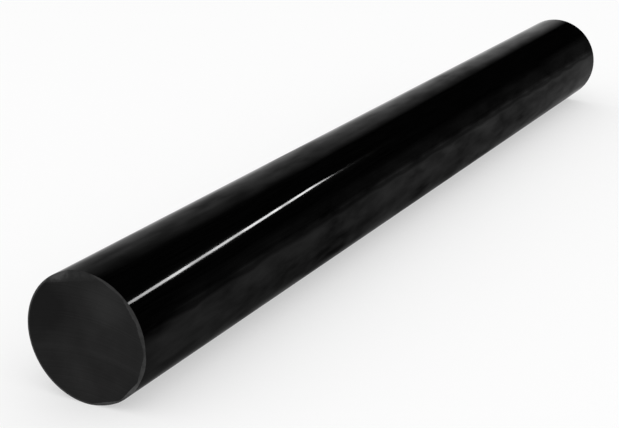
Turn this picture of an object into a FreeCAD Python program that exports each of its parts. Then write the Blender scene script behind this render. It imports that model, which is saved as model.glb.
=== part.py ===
import FreeCAD, Part
import math
import os

from FreeCAD import Vector

# Solid round bar of black nylon: 100 mm stock in its 1 m length, sawn square at both ends.
# It lies along X as it is stored, and the origin is on the floor under its middle.
# Millimetres throughout.

ROD_DIAMETER = 100.0
ROD_LENGTH = 1000.0

# Both sawn rims are scraped by hand: how far across the face, and how far down the skin.
SCRAPE_ACROSS = 1.6
SCRAPE_DOWN = 0.4

# The -X end shows how it was cut. Directions are in degrees round the rim, from the top toward -Y.
# The last of the web broke away before the saw was through, and left a lip that rounds over.
BREAKOUT_DIRECTION = -12.4
BREAKOUT_REACH = 9.0
BREAKOUT_DROP = 1.3

# A knife then left flats on the rim: each its direction, its reach in from the skin,
# and its drop along the skin.
KNIFE_FLATS = (
    (28.0, 2.2, 0.5),
    (57.0, 3.2, 0.6),
    (74.0, 3.3, 0.6),
    (107.0, 2.5, 1.6),
    (131.5, 2.5, 1.9),
    (162.0, 2.8, 1.3),
)

rod_radius = ROD_DIAMETER / 2
half_length = ROD_LENGTH / 2


def round_bar():
    """The bar between its two saw cuts, with both rims scraped: half its section, turned."""
    face_radius = rod_radius - SCRAPE_ACROSS
    skin_end = half_length - SCRAPE_DOWN
    section = [
        Vector(-half_length, 0, 0),
        Vector(-half_length, 0, face_radius),
        Vector(-skin_end, 0, rod_radius),
        Vector(skin_end, 0, rod_radius),
        Vector(half_length, 0, face_radius),
        Vector(half_length, 0, 0),
    ]
    half_section = Part.Face(Part.makePolygon([*section, section[0]]))
    bar = half_section.revolve(Vector(0, 0, 0), Vector(1, 0, 0), 360)
    bar.translate(Vector(0, 0, rod_radius))
    return bar


def turned_round(cutter, direction):
    """A cutter made at the top of the rim, turned round the bar's axis to its direction."""
    return cutter.rotate(Vector(0, 0, rod_radius), Vector(1, 0, 0), direction)


def flat_cutter(direction, reach, drop):
    """A wedge whose sloping side is the flat: reach in from the skin, drop along the skin."""
    past = rod_radius / 2
    slope = drop / reach
    inner = Vector(-half_length - slope * past, 0, ROD_DIAMETER - reach - past)
    outer = Vector(-half_length + slope * (reach + past), 0, ROD_DIAMETER + past)
    corner = Vector(inner.x, 0, outer.z)
    side = Part.Face(Part.makePolygon([inner, outer, corner, inner]))
    wedge = side.extrude(Vector(0, 2 * ROD_DIAMETER, 0))
    wedge.translate(Vector(0, -ROD_DIAMETER, 0))
    return turned_round(wedge, direction)


def breakout_cutter(direction, reach, drop):
    """What broke away: a block over a round hollow that starts level with the end plane."""
    rounding = (reach**2 + drop**2) / (2 * drop)
    low = Vector(-half_length - rounding, -ROD_DIAMETER, ROD_DIAMETER - reach)
    block = Part.makeBox(2 * rounding, 2 * ROD_DIAMETER, rounding, low)
    centre = Vector(-half_length + rounding, -ROD_DIAMETER, low.z)
    lip = Part.makeCylinder(rounding, 2 * ROD_DIAMETER, centre, Vector(0, 1, 0))
    return turned_round(block.cut(lip), direction)


def cut_rod():
    """The bar with the break-out and the knife's flats on the rim of its -X end."""
    cutters = [flat_cutter(*flat) for flat in KNIFE_FLATS]
    cutters.append(breakout_cutter(BREAKOUT_DIRECTION, BREAKOUT_REACH, BREAKOUT_DROP))
    return round_bar().cut(cutters)


rod = cut_rod().Solids[0]

os.makedirs("parts", exist_ok=True)
rod.exportStep("parts/rod.step")

print("rod valid:", rod.isValid(), "faces:", len(rod.Faces), "volume:", round(rod.Volume), "mm3")
print(rod.BoundBox)
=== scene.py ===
import math

import bpy
import numpy as np
from mathutils import Matrix, Vector


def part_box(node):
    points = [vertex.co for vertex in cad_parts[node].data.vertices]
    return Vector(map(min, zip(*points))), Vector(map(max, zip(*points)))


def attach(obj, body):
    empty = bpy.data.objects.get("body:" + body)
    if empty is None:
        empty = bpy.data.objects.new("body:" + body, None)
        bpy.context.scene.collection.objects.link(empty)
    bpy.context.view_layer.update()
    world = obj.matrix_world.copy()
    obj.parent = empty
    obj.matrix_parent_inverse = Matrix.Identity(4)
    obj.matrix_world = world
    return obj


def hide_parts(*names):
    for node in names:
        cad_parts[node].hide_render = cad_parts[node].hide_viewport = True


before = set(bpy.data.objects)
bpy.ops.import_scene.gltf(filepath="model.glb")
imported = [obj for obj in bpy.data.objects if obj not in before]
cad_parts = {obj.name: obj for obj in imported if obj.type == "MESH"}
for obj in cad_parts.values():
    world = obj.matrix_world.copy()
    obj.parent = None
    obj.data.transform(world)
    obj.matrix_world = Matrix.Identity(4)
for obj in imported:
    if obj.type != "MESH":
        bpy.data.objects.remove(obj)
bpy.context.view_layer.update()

MM = 0.001
WHITE = (1, 1, 1, 1)

# The bar, from the frame: it lies along X on the floor.
rod_low, rod_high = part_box("rod")
HALF_LENGTH = (rod_high.x - rod_low.x) / 2
RADIUS = (rod_high.z - rod_low.z) / 2
NEAR_END = (-HALF_LENGTH, 0, RADIUS)
MIDDLE = (0, 0, RADIUS)

# The mesh's materials, in the order of its slots.
SKIN, SAWN, SCRAPED, BROKEN, SHAVED = range(5)

# The rim, as the frame's solid has it. Directions are in degrees round the rim, from the top
# toward -Y. Each knife flat is its direction, its reach in from the skin, and its drop along the skin.
SCRAPE_ACROSS = 1.6 * MM
SCRAPE_DOWN = 0.4 * MM
BREAKOUT_DIRECTION = -12.4
BREAKOUT_REACH = 9.0 * MM
BREAKOUT_DROP = 1.3 * MM
KNIFE_FLATS = (
    (28.0, 2.2 * MM, 0.5 * MM),
    (57.0, 3.2 * MM, 0.6 * MM),
    (74.0, 3.3 * MM, 0.6 * MM),
    (107.0, 2.5 * MM, 1.6 * MM),
    (131.5, 2.5 * MM, 1.9 * MM),
    (162.0, 2.8 * MM, 1.3 * MM),
)

# A flat that drops by more than this share of its reach looks shaved, and the others look scraped.
STEEP_SLOPE = 0.4

# The saw's blade came up from below, its centre a little toward +Y, and its teeth left arcs of the
# blade's own radius. It also left broad steps: their full depth, and their lengths along its feed.
BLADE_RADIUS = 150 * MM
BLADE_CENTRE = 6 * MM
SAW_RELIEF = 0.05 * MM
SAW_STEPS = (3.1 * MM, 4.7 * MM, 11 * MM)

# The skin is never quite true, from the die and the haul-off. It dips everywhere by a least share
# of its relief, by another share in long waves along it, and by another in lobes round it, whose
# lengths are in turns.
SKIN_RELIEF = 0.05 * MM
LEAST_DIP = 0.1
WAVE_DIP = 0.6
LOBE_DIP = 0.4
SKIN_WAVES = (61 * MM, 93 * MM, 187 * MM)
SKIN_LOBES = (1, 1 / 2, 1 / 3)

# Mesh fineness: points round the bar, steps along it, and rings on each end. A higher crowding
# draws the rings closer to the rim. Edges over the sharp angle, in degrees, are shaded as edges.
AROUND = 384
ALONG = 90
NEAR_RINGS = 100
FAR_RINGS = 30
RIM_CROWDING = 1.25
SHARP_ANGLE = 15

# Noises, each its scale per metre, its detail, and what a distance along the bar counts for: under 1
# draws it out lengthwise. The arcs are noise along the saw's feed alone.
SKIN_LINES = (900, 3, 0.02)
SKIN_CLOUDS = (14, 4, 1)
GLOSS_SCUFFS = (80, 3, 0.3)
GLOSS_CLOUDS = (34, 2, 0.4)
SAWN_CLOUDS = (45, 5, 1)
SAWN_GRAIN = (1500, 2, 1)
TORN_GRAIN = (260, 4, 1)
ARC_SCALE = 900
ARC_DETAIL = 4

# Greys of the base colour, each after the value of the noise and the patches that it stands for.
# The three torn surfaces have three greys each, for the same three values.
LINE_TONES = ((0.35, 0.0004), (0.7, 0.0012))
SAWN_TONES = ((0.08, 0.002), (0.5, 0.0095), (0.9, 0.019))
TORN_VALUES = (0.3, 0.7, 1.0)
SCRAPED_TONES = (0.011, 0.025, 0.045)
BROKEN_TONES = (0.002, 0.012, 0.042)
SHAVED_TONES = (0.014, 0.032, 0.056)

# Roughness and specular level of the ends.
SAWN_ROUGHNESS = 0.6
SCRAPED_ROUGHNESS = 0.4
BROKEN_ROUGHNESS = 0.5
SHAVED_ROUGHNESS = 0.4
SAWN_SPECULAR = 0.1
TORN_SPECULAR = 0.2

# Fine relief, each its strength and its height.
LINE_BUMP = (0.15, 0.02 * MM)
SAWN_BUMP = (0.6, 0.1 * MM)
TORN_BUMP = (0.5, 0.1 * MM)

# The sawn end's tone is its clouds, mixed with a share of the arcs, and its relief is the arcs,
# mixed with a share of the grain.
ARCS_IN_TONE = 0.35
GRAIN_IN_BUMP = 0.4

# A paler arc where the feed paused: its feed, its reach to each side, and its change of tone.
PAUSE_FEED = -8.5 * MM
PAUSE_REACH = 4 * MM
PAUSE_CHANGE = 0.12

# The broken lip's colour is darkened where it begins, level with the face, and comes up to its own tone
# over a distance as it rounds over: painted shade.
LIP_PAINTED_SHADE = 0.35
LIP_EASING = 5 * MM

# Soft patches, each its middle, its reach, what it adds to the tone or to the share of the gloss,
# and what a distance along the bar counts for: under 1 draws the patch out into a streak.
SAWN_PATCHES = (
    ((-HALF_LENGTH, -20 * MM, RADIUS + 30 * MM), 24 * MM, 0.3, 1),
    ((-HALF_LENGTH, 32 * MM, RADIUS + 24 * MM), 34 * MM, -0.28, 1),
    ((-HALF_LENGTH, 50 * MM, RADIUS + 8 * MM), 62 * MM, -0.38, 1),
)
# On the broken lip the patch is painted light, where the lip rounds over toward +Y.
BROKEN_PAINTED_LIGHT = (((-HALF_LENGTH, 26 * MM, RADIUS + 51 * MM), 19 * MM, 1.2, 1),)
SHAVED_PATCHES = (((-HALF_LENGTH, -37 * MM, RADIUS - 33 * MM), 20 * MM, 0.45, 1),)
# The gloss patches are painted reflection: they brighten the skin's reflections near both ends, darken
# them a little between, and paint shade into them in a long streak on the side toward -Y from the near
# end.
PAINTED_REFLECTION_PATCHES = (
    ((-HALF_LENGTH + 60 * MM, -RADIUS, RADIUS), 90 * MM, 0.6, 1),
    ((-HALF_LENGTH + 320 * MM, -RADIUS, RADIUS), 130 * MM, -0.12, 1),
    ((HALF_LENGTH - 40 * MM, -RADIUS, RADIUS), 150 * MM, 0.7, 1),
    ((-HALF_LENGTH, -0.92 * RADIUS, 1.4 * RADIUS), 25 * MM, -1.2, 0.14),
)

# Low on the side toward -Y the gloss is dulled by a share of itself, most of all past the middle, which
# paints shade into the skin's reflection of the floor. This is a patch too, and its third value is that
# share.
LOW_PAINTED_SHADE = ((90 * MM, -0.75 * RADIUS, 0.2 * RADIUS), 50 * MM, 0.75, 0.09)

# The skin's roughness by its clouds, its specular level by how far it turns from the eye, and its
# share of that level by its scuffs: each from one value to another, and what they become.
ROUGHNESS_RANGE = (0.3, 0.7, 0.035, 0.06)
SPECULAR_RANGE = (0.45, 0.68, 0.036, 0.0072)
SCUFF_RANGE = (0.35, 0.65, 0.55, 1.3)

# The gloss clouds add up to half of this to the share, or take as much away.
CLOUDING = 1.6

# The gloss by height in diameters: it is duller underneath and along a line on each side, which paints
# shade into the skin's reflection of the floor. The lines wander with the scuffs, up and down by half
# of the wander.
PAINTED_SHADE_BY_HEIGHT = ((0.12, 0.03), (0.28, 0.2), (0.6, 0.93), (0.625, 0.3), (0.65, 0.3), (0.7, 1.0))
GLOSS_WANDER = 10 * MM

# The photograph's camera, from a fit of the bar's outline. Its heading is in degrees from +X toward
# +Y, and its pitch in degrees above the horizon.
CAMERA_AT = Vector((-1.23732, -0.56625, 0.45282))
CAMERA_HEADING = 27.913
CAMERA_PITCH = -18.765
LENS_MM = 83.874
SENSOR_MM = 36.0

# The even light from all round, as radiance, and the softbox: its place, its side and its radiance.
AMBIENT = 0.96
SOFTBOX_AT = Vector((-1.6, -1.2, 3.0))
SOFTBOX_SIDE = 2.0
SOFTBOX_RADIANCE = 0.8

# Narrow lamps that are only mirrored, each its name, its two ends, its width, its radiance and the
# point that it faces. The first gives the photograph's highlight, and the others a like line to
# views from the front, the back and above.
STRIPS = (
    ("highlight_strip", (5.12, -3.409, 3.801), (11.37, -3.113, 6.655), 0.3, 72, NEAR_END),
    ("front_strip", (-0.5, -0.6, 1.4), (0.5, -0.6, 1.4), 0.05, 50, MIDDLE),
    ("back_strip", (-0.5, 0.6, 1.4), (0.5, 0.6, 1.4), 0.05, 50, MIDDLE),
)

# The floor: its grey, the share of white that is mixed in as it is seen, and half its width.
FLOOR_ALBEDO = 0.95
FLOOR_WHITENING = 0.5
FLOOR_HALF_SIZE = 60.0

# The studio that is seen and mirrored, in greys by the sine of the height above the horizon: most of
# it, and its dark side round a direction in degrees from +X. The dark side gives way to the rest by
# the angle from that direction, in half turns.
STUDIO_LEVELS = ((0.0, 0.95), (0.3, 1.0), (0.4, 0.89), (0.46, 0.61), (0.55, 0.29), (0.62, 0.0))
DARK_LEVELS = ((0.0, 0.6), (0.05, 0.18), (0.2, 0.15), (0.3, 0.0))
DARK_SIDE = -17.5
GIVING_WAY = ((0.15, 0.0), (0.2, 1.0))


def smooth_waves(position, lengths, seed):
    """A smooth line of hills between 0 and 1: sines of the given lengths with seeded phases."""
    draw = np.random.default_rng(seed)
    total = np.zeros_like(position)
    for length in lengths:
        total += np.sin(2 * np.pi * (position / length + draw.random()))
    return 0.5 + 0.5 * total / len(lengths)


def saw_feed(side, height):
    """How far the blade had fed when its edge crossed a point of the face. In the functions that make
    the mesh, side is toward -Y and height is from the bar's axis."""
    return height - np.sqrt(BLADE_RADIUS**2 - (side + BLADE_CENTRE) ** 2) + BLADE_RADIUS


def saw_depth(side, height):
    """The saw's broad steps, as depth below the end plane."""
    return SAW_RELIEF * smooth_waves(saw_feed(side, height), SAW_STEPS, seed=3)


def outward(side, height, direction):
    """How far a point of the face lies from the axis, along a direction round the rim."""
    angle = math.radians(direction)
    return side * math.sin(angle) + height * math.cos(angle)


def scrape_depth(side, height):
    """The scraped rim's depth below the end plane; below zero where it doesn't reach."""
    return (np.hypot(side, height) - (RADIUS - SCRAPE_ACROSS)) * SCRAPE_DOWN / SCRAPE_ACROSS


def flat_depth(side, height, direction, reach, drop):
    """A knife flat's depth below the end plane; below zero where it doesn't reach."""
    return (outward(side, height, direction) - (RADIUS - reach)) * drop / reach


def breakout_depth(side, height):
    """The broken lip's depth: it starts level with the end plane and rounds over."""
    rounding = (BREAKOUT_REACH**2 + BREAKOUT_DROP**2) / (2 * BREAKOUT_DROP)
    past = np.maximum(outward(side, height, BREAKOUT_DIRECTION) - (RADIUS - BREAKOUT_REACH), 0)
    return rounding - np.sqrt(rounding**2 - past**2)


def end_surfaces(side, height, marked):
    """The surfaces that bound a sawn end, each as its material and its depth over the disc;
    marked is true for the end with the break-out and the knife's flats."""
    surfaces = [(SAWN, saw_depth(side, height)), (SCRAPED, scrape_depth(side, height))]
    if marked:
        surfaces.append((BROKEN, breakout_depth(side, height)))
        for direction, reach, drop in KNIFE_FLATS:
            kind = SHAVED if drop > STEEP_SLOPE * reach else SCRAPED
            surfaces.append((kind, flat_depth(side, height, direction, reach, drop)))
    return surfaces


def end_depth(side, height, marked):
    """Depth of a sawn end below its plane: the deepest of its surfaces."""
    return np.max([depth for kind, depth in end_surfaces(side, height, marked)], axis=0)


def end_kind(side, height, marked):
    """The material of a sawn end: that of its deepest surface."""
    surfaces = end_surfaces(side, height, marked)
    deepest = np.argmax([depth for kind, depth in surfaces], axis=0)
    return np.array([kind for kind, depth in surfaces])[deepest]


def skin_radius(angle, x):
    """The bar's own radius, a little under the full one."""
    waves = smooth_waves(x, SKIN_WAVES, seed=7)
    lobes = smooth_waves(angle / (2 * np.pi), SKIN_LOBES, seed=11)
    return RADIUS - SKIN_RELIEF * (LEAST_DIP + WAVE_DIP * waves + LOBE_DIP * lobes)


def frame_points(x, side, height):
    """The bar's points in the frame."""
    return np.stack([x, -side, height + RADIUS], axis=1)


def end_rings(angle, x_sign, marked, count):
    """The rings of a sawn end from its middle out to the skin, closer together near the rim."""
    rim = skin_radius(angle, np.full(AROUND, x_sign * HALF_LENGTH))
    rings = []
    for step in np.arange(1, count + 1) / count:
        radius = (1 - (1 - step) ** RIM_CROWDING) * rim
        side = radius * np.sin(angle)
        height = radius * np.cos(angle)
        x = x_sign * (HALF_LENGTH - end_depth(side, height, marked))
        rings.append(frame_points(x, side, height))
    return rings


def rod_points():
    """The whole bar as rings of points: near end from its middle out, the skin, far end back in.
    The two ends' middles come last."""
    angle = 2 * np.pi * np.arange(AROUND) / AROUND
    near = end_rings(angle, -1, True, NEAR_RINGS)
    far = end_rings(angle, 1, False, FAR_RINGS)
    skin = []
    for step in np.arange(1, ALONG) / ALONG:
        x = near[-1][:, 0] * (1 - step) + far[-1][:, 0] * step
        radius = skin_radius(angle, x)
        skin.append(frame_points(x, radius * np.sin(angle), radius * np.cos(angle)))
    rings = [*near, *skin, *far[::-1]]
    middle_x = HALF_LENGTH - saw_depth(0.0, 0.0)
    middles = np.array([[-middle_x, 0, RADIUS], [middle_x, 0, RADIUS]])
    return np.concatenate([*rings, middles]), len(rings)


def rod_faces(ring_count):
    """Quads between neighbouring rings and a fan at each end, and the material of each."""
    pairs = [(point, (point + 1) % AROUND) for point in range(AROUND)]
    near_middle = ring_count * AROUND
    far_middle = near_middle + 1
    last = near_middle - AROUND
    faces = [(near_middle, beside, point) for point, beside in pairs]
    kinds = [SAWN] * AROUND
    for ring in range(ring_count - 1):
        here = ring * AROUND
        there = here + AROUND
        on_skin = NEAR_RINGS - 1 <= ring < ring_count - FAR_RINGS
        faces += [(here + point, here + beside, there + beside, there + point) for point, beside in pairs]
        kinds += [SKIN if on_skin else SAWN] * AROUND
    faces += [(far_middle, last + point, last + beside) for point, beside in pairs]
    kinds += [SAWN] * AROUND
    return faces, kinds


def set_materials(mesh, kinds):
    """Gives each face its material; a face of an end takes that of the surface that bounds it there."""
    centres = np.empty(3 * len(mesh.polygons))
    mesh.polygons.foreach_get("center", centres)
    x, y, z = centres.reshape(-1, 3).T
    kinds = np.array(kinds)
    for marked in (True, False):
        here = (kinds != SKIN) & ((x < 0) == marked)
        kinds[here] = end_kind(-y[here], z[here] - RADIUS, marked)
    mesh.polygons.foreach_set("material_index", kinds)


def node(tree, kind, inputs=None, **settings):
    """Adds a node; inputs maps a socket to a value or to the output that feeds it."""
    made = tree.nodes.new(kind)
    for name, value in settings.items():
        setattr(made, name, value)
    for name, value in (inputs or {}).items():
        if isinstance(value, bpy.types.NodeSocket):
            tree.links.new(value, made.inputs[name])
        else:
            made.inputs[name].default_value = value
    return made


def math_node(tree, operation, first, second=0.0, third=0.0):
    """A number worked out from up to three others."""
    return node(tree, "ShaderNodeMath", {0: first, 1: second, 2: third}, operation=operation).outputs[0]


def mix(tree, factor, first, second):
    """A number that goes from first to second as factor goes from 0 to 1."""
    return node(tree, "ShaderNodeMix", {"Factor": factor, "A": first, "B": second}).outputs[0]


def remap(tree, value, start, end, first, last, **settings):
    """A number that goes from first to last as value goes from start to end, and no further."""
    inputs = {"Value": value, "From Min": start, "From Max": end, "To Min": first, "To Max": last}
    return node(tree, "ShaderNodeMapRange", inputs, **settings).outputs[0]


def ramp(tree, factor, stops):
    """A colour ramp fed by factor, with grey stops as (position, level)."""
    made = node(tree, "ShaderNodeValToRGB", {"Fac": factor})
    elements = made.color_ramp.elements
    while len(elements) < len(stops):
        elements.new(0.5)
    for element, (position, level) in zip(elements, stops):
        element.position = position
        element.color = (level, level, level, 1)
    return made.outputs["Color"]


def noise(tree, where, scale, detail, along):
    """Noise about 0.5, from one of the noises listed above."""
    drawn = node(tree, "ShaderNodeMapping", {"Vector": where, "Scale": (along, 1, 1)}).outputs[0]
    inputs = {"Vector": drawn, "Scale": scale, "Detail": detail}
    return node(tree, "ShaderNodeTexNoise", inputs).outputs[0]


def fade(tree, away, reach):
    """1 where away is 0, easing to 0 at reach."""
    return remap(tree, away, 0.0, reach, 1.0, 0.0, interpolation_type="SMOOTHSTEP")


def patch(tree, where, centre, reach, along):
    """A soft round patch or streak: 1 in its middle, and 0 from its reach outward."""
    offset = node(tree, "ShaderNodeVectorMath", {0: where, 1: centre}, operation="SUBTRACT").outputs[0]
    scaled = node(tree, "ShaderNodeVectorMath", {0: offset, 1: (along, 1, 1)}, operation="MULTIPLY")
    away = node(tree, "ShaderNodeVectorMath", {0: scaled.outputs[0]}, operation="LENGTH")
    return fade(tree, away.outputs["Value"], reach)


def add_patches(tree, where, value, patches):
    """A number with each patch's change added to it."""
    for centre, reach, change, along in patches:
        soft = patch(tree, where, centre, reach, along)
        value = math_node(tree, "MULTIPLY_ADD", soft, change, value)
    return value


def new_material(name):
    """A new material, with its nodes and its shader."""
    material = bpy.data.materials.new(name)
    material.use_nodes = True
    tree = material.node_tree
    return material, tree, tree.nodes["Principled BSDF"]


def set_bump(tree, shader, height, strength, distance):
    """Gives a shader fine relief."""
    bump = node(tree, "ShaderNodeBump", {"Height": height, "Strength": strength, "Distance": distance})
    tree.links.new(bump.outputs[0], shader.inputs["Normal"])


def gloss_and_painted_reflection(tree, where):
    """The skin's share of its full gloss: uneven with scuffs and clouds, and with painted reflection and
    painted shade from its patches, its dulling low on the side toward -Y and its fall by height.
    """
    scuffs = noise(tree, where, *GLOSS_SCUFFS)
    clouds = noise(tree, where, *GLOSS_CLOUDS)
    clouding = math_node(tree, "MULTIPLY_ADD", clouds, CLOUDING, -CLOUDING / 2)
    share = math_node(tree, "ADD", remap(tree, scuffs, *SCUFF_RANGE), clouding)
    # Painted reflection and painted shade from the patches.
    share = add_patches(tree, where, share, PAINTED_REFLECTION_PATCHES)
    share = math_node(tree, "MAXIMUM", share, 0.0)
    # Painted shade: the gloss is dulled low on the side toward -Y.
    centre, reach, low_shade, along = LOW_PAINTED_SHADE
    low = patch(tree, where, centre, reach, along)
    share = math_node(tree, "MULTIPLY", share, math_node(tree, "MULTIPLY_ADD", low, -low_shade, 1.0))
    # Painted shade: the gloss falls by height, duller underneath and along a line on each side.
    height = node(tree, "ShaderNodeSeparateXYZ", {"Vector": where}).outputs["Z"]
    wander = math_node(tree, "SUBTRACT", scuffs, 0.5)
    wandering = math_node(tree, "MULTIPLY_ADD", wander, GLOSS_WANDER, height)
    by_height = math_node(tree, "DIVIDE", wandering, 2 * RADIUS)
    return math_node(tree, "MULTIPLY", share, ramp(tree, by_height, PAINTED_SHADE_BY_HEIGHT))


def skin_material():
    """Glossy black extruded skin: faint lengthwise lines, and uneven gloss that carries painted
    reflection and painted shade.
    """
    material, tree, shader = new_material("nylon_skin")
    where = node(tree, "ShaderNodeTexCoord").outputs["Object"]
    lines = noise(tree, where, *SKIN_LINES)
    tree.links.new(ramp(tree, lines, LINE_TONES), shader.inputs["Base Color"])
    roughness = remap(tree, noise(tree, where, *SKIN_CLOUDS), *ROUGHNESS_RANGE)
    tree.links.new(roughness, shader.inputs["Roughness"])
    set_bump(tree, shader, lines, *LINE_BUMP)
    facing = node(tree, "ShaderNodeLayerWeight", {"Blend": 0.5}).outputs["Facing"]
    level = remap(tree, facing, *SPECULAR_RANGE)
    specular = math_node(tree, "MULTIPLY", level, gloss_and_painted_reflection(tree, where))
    tree.links.new(specular, shader.inputs["Specular IOR Level"])
    return material


def feed_output(tree, where):
    """The blade's feed at a point, in nodes, as saw_feed gives it."""
    parts = node(tree, "ShaderNodeSeparateXYZ", {"Vector": where})
    offset = math_node(tree, "SUBTRACT", parts.outputs["Y"], BLADE_CENTRE)
    squared = math_node(tree, "MULTIPLY", offset, offset)
    under = math_node(tree, "SUBTRACT", BLADE_RADIUS**2, squared)
    height = math_node(tree, "SUBTRACT", parts.outputs["Z"], RADIUS - BLADE_RADIUS)
    return math_node(tree, "SUBTRACT", height, math_node(tree, "SQRT", under))


def sawn_material():
    """Matte dark grey saw cut, with fine arcs from the teeth and broad uneven tones."""
    material, tree, shader = new_material("nylon_sawn")
    where = node(tree, "ShaderNodeTexCoord").outputs["Object"]
    feed = feed_output(tree, where)
    along_feed = {"W": feed, "Scale": ARC_SCALE, "Detail": ARC_DETAIL}
    arcs = node(tree, "ShaderNodeTexNoise", along_feed, noise_dimensions="1D").outputs[0]
    tone = mix(tree, ARCS_IN_TONE, noise(tree, where, *SAWN_CLOUDS), arcs)
    from_pause = math_node(tree, "ABSOLUTE", math_node(tree, "SUBTRACT", feed, PAUSE_FEED))
    pause = fade(tree, from_pause, PAUSE_REACH)
    tone = math_node(tree, "MULTIPLY_ADD", pause, PAUSE_CHANGE, tone)
    tone = add_patches(tree, where, tone, SAWN_PATCHES)
    tree.links.new(ramp(tree, tone, SAWN_TONES), shader.inputs["Base Color"])
    shader.inputs["Roughness"].default_value = SAWN_ROUGHNESS
    shader.inputs["Specular IOR Level"].default_value = SAWN_SPECULAR
    height = mix(tree, GRAIN_IN_BUMP, arcs, noise(tree, where, *SAWN_GRAIN))
    set_bump(tree, shader, height, *SAWN_BUMP)
    return material


def lip_start(tree, where):
    """1 where the broken lip begins, easing to 0 further out."""
    angle = math.radians(BREAKOUT_DIRECTION)
    toward = (0, -math.sin(angle), math.cos(angle))
    along = node(tree, "ShaderNodeVectorMath", {0: where, 1: toward}, operation="DOT_PRODUCT")
    start = RADIUS * math.cos(angle) + RADIUS - BREAKOUT_REACH
    return fade(tree, math_node(tree, "SUBTRACT", along.outputs["Value"], start), LIP_EASING)


def torn_material(name, tones, roughness, patches=(), lip_shade=0.0):
    """Nylon that was cut or broken by hand: a little uneven between its first two tones, with soft
    patches that reach up to the third, and darkened where the lip begins. On the broken lip the patch is
    painted light and the darkening is painted shade."""
    material, tree, shader = new_material(name)
    where = node(tree, "ShaderNodeTexCoord").outputs["Object"]
    torn = noise(tree, where, *TORN_GRAIN)
    # On the broken lip, the patch is painted light and the darkening below is painted shade.
    tone = add_patches(tree, where, torn, patches)
    if lip_shade:
        tone = math_node(tree, "MULTIPLY_ADD", lip_start(tree, where), -lip_shade, tone)
    stops = tuple(zip(TORN_VALUES, tones))
    tree.links.new(ramp(tree, tone, stops), shader.inputs["Base Color"])
    shader.inputs["Roughness"].default_value = roughness
    shader.inputs["Specular IOR Level"].default_value = TORN_SPECULAR
    set_bump(tree, shader, torn, *TORN_BUMP)
    return material


def rod_materials():
    """The bar's materials, in the order of the mesh's slots."""
    return (
        skin_material(),
        sawn_material(),
        torn_material("nylon_scraped", SCRAPED_TONES, SCRAPED_ROUGHNESS),
        torn_material("nylon_broken", BROKEN_TONES, BROKEN_ROUGHNESS, BROKEN_PAINTED_LIGHT, LIP_PAINTED_SHADE),
        torn_material("nylon_shaved", SHAVED_TONES, SHAVED_ROUGHNESS, SHAVED_PATCHES),
    )


def make_rod():
    """The bar itself, one piece that stands for the frame's solid."""
    points, ring_count = rod_points()
    faces, kinds = rod_faces(ring_count)
    mesh = bpy.data.meshes.new("nylon_bar")
    mesh.from_pydata(points.tolist(), [], faces)
    mesh.update()
    set_materials(mesh, kinds)
    for material in rod_materials():
        mesh.materials.append(material)
    mesh.shade_smooth()
    mesh.set_sharp_from_angle(angle=math.radians(SHARP_ANGLE))
    bar = bpy.data.objects.new("nylon_bar", mesh)
    bpy.context.scene.collection.objects.link(bar)
    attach(bar, "root")
    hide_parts("rod")


def looked_at(tree):
    """1 for a ray from the camera, a mirroring surface or a clear one, and 0 for light on the object."""
    path = node(tree, "ShaderNodeLightPath")
    seen = math_node(tree, "ADD", path.outputs["Is Camera Ray"], path.outputs["Is Glossy Ray"])
    return math_node(tree, "ADD", seen, path.outputs["Is Transmission Ray"])


def make_floor():
    """A plain pale floor, wide enough to fill every view from above the horizon, that keeps the
    object's shadow and is whitened a little as it is seen."""
    size = FLOOR_HALF_SIZE
    corners = [(-size, -size, 0), (size, -size, 0), (size, size, 0), (-size, size, 0)]
    mesh = bpy.data.meshes.new("floor")
    mesh.from_pydata(corners, [], [(0, 1, 2, 3)])
    material, tree, shader = new_material("pale_floor")
    shader.inputs["Base Color"].default_value = (FLOOR_ALBEDO, FLOOR_ALBEDO, FLOOR_ALBEDO, 1)
    shader.inputs["Roughness"].default_value = 1.0
    shader.inputs["Specular IOR Level"].default_value = 0.0
    white = node(tree, "ShaderNodeEmission", {"Color": WHITE, "Strength": 1.0}).outputs[0]
    share = math_node(tree, "MULTIPLY", looked_at(tree), FLOOR_WHITENING)
    mixed = node(tree, "ShaderNodeMixShader", {"Fac": share, 1: shader.outputs[0], 2: white}).outputs[0]
    tree.links.new(mixed, tree.nodes["Material Output"].inputs["Surface"])
    mesh.materials.append(material)
    floor = bpy.data.objects.new("floor", mesh)
    bpy.context.scene.collection.objects.link(floor)


def studio_level(tree):
    """The studio's grey in each direction. The last node's sockets share their names, so they are
    numbered: its factor is 0, its two colours are 6 and 7, and it gives a colour at 2."""
    toward = node(tree, "ShaderNodeTexCoord").outputs["Generated"]
    height = node(tree, "ShaderNodeSeparateXYZ", {"Vector": toward}).outputs["Z"]
    turn = {"Vector": toward, "Angle": math.radians(-DARK_SIDE)}
    turned = node(tree, "ShaderNodeVectorRotate", turn, rotation_type="Z_AXIS").outputs[0]
    parts = node(tree, "ShaderNodeSeparateXYZ", {"Vector": turned})
    aside = math_node(tree, "ARCTAN2", parts.outputs["Y"], parts.outputs["X"])
    aside = math_node(tree, "DIVIDE", math_node(tree, "ABSOLUTE", aside), math.pi)
    given_way = ramp(tree, aside, GIVING_WAY)
    dark = ramp(tree, height, DARK_LEVELS)
    pale = ramp(tree, height, STUDIO_LEVELS)
    return node(tree, "ShaderNodeMix", {0: given_way, 6: dark, 7: pale}, data_type="RGBA").outputs[2]


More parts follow.
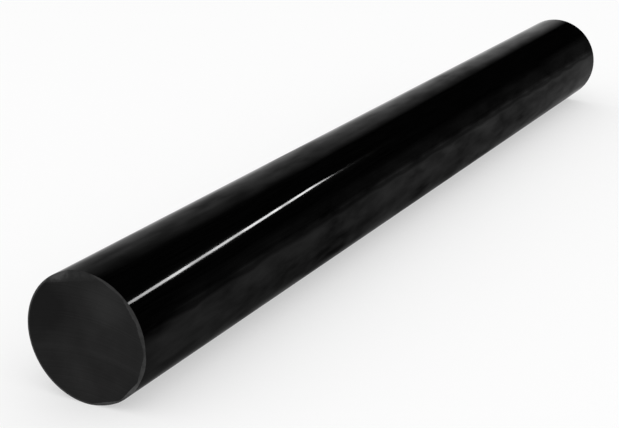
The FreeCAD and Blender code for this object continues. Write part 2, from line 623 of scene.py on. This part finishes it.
def make_world():
    """A studio with plain even light, so even that it isn't sampled as a lamp. Seen or mirrored, it
    is pale low down, dark overhead and darker on one side."""
    world = bpy.data.worlds.new("studio")
    bpy.context.scene.world = world
    world.use_nodes = True
    world.cycles.sampling_method = "NONE"
    tree = world.node_tree
    tree.nodes.clear()
    level = studio_level(tree)
    seen = node(tree, "ShaderNodeBackground", {"Color": level, "Strength": 1.0}).outputs[0]
    light = node(tree, "ShaderNodeBackground", {"Color": WHITE, "Strength": AMBIENT}).outputs[0]
    mixed = node(tree, "ShaderNodeMixShader", {"Fac": looked_at(tree), 1: light, 2: seen}).outputs[0]
    node(tree, "ShaderNodeOutputWorld", {"Surface": mixed})


def make_strip(name, start, end, width, radiance, target):
    """A long narrow lamp between two points, facing target, that lights nothing but is mirrored."""
    start = Vector(start)
    end = Vector(end)
    data = bpy.data.lights.new(name, "AREA")
    data.shape = "RECTANGLE"
    data.size = (end - start).length
    data.size_y = width
    data.energy = radiance * math.pi * data.size * width
    lamp = bpy.data.objects.new(name, data)
    middle = (start + end) / 2
    along = (end - start).normalized()
    back = (middle - Vector(target)).normalized()
    back = (back - along * back.dot(along)).normalized()
    up = back.cross(along)
    turn = Matrix((along, up, back)).transposed().to_4x4()
    lamp.matrix_world = Matrix.Translation(middle) @ turn
    lamp.visible_diffuse = False
    bpy.context.scene.collection.objects.link(lamp)


def make_softbox():
    """The one lamp that shapes the object and its shadow: broad, and high above the camera."""
    data = bpy.data.lights.new("softbox", "AREA")
    data.shape = "SQUARE"
    data.size = SOFTBOX_SIDE
    data.energy = SOFTBOX_RADIANCE * math.pi * SOFTBOX_SIDE**2
    lamp = bpy.data.objects.new("softbox", data)
    lamp.location = SOFTBOX_AT
    lamp.rotation_euler = (-SOFTBOX_AT).to_track_quat("-Z", "Y").to_euler()
    bpy.context.scene.collection.objects.link(lamp)


def make_camera():
    """The photograph's camera. Unturned it would look straight down with +Y up in the picture, so
    a right angle comes into its pitch and its heading."""
    data = bpy.data.cameras.new("camera")
    data.sensor_width = SENSOR_MM
    data.lens = LENS_MM
    camera = bpy.data.objects.new("camera", data)
    camera.location = CAMERA_AT
    camera.rotation_euler = (math.radians(90 + CAMERA_PITCH), 0, math.radians(CAMERA_HEADING - 90))
    bpy.context.scene.collection.objects.link(camera)
    bpy.context.scene.camera = camera


make_camera()
make_world()
make_softbox()
for strip in STRIPS:
    make_strip(*strip)
make_floor()
make_rod()
bpy.context.scene.view_settings.view_transform = "Standard"
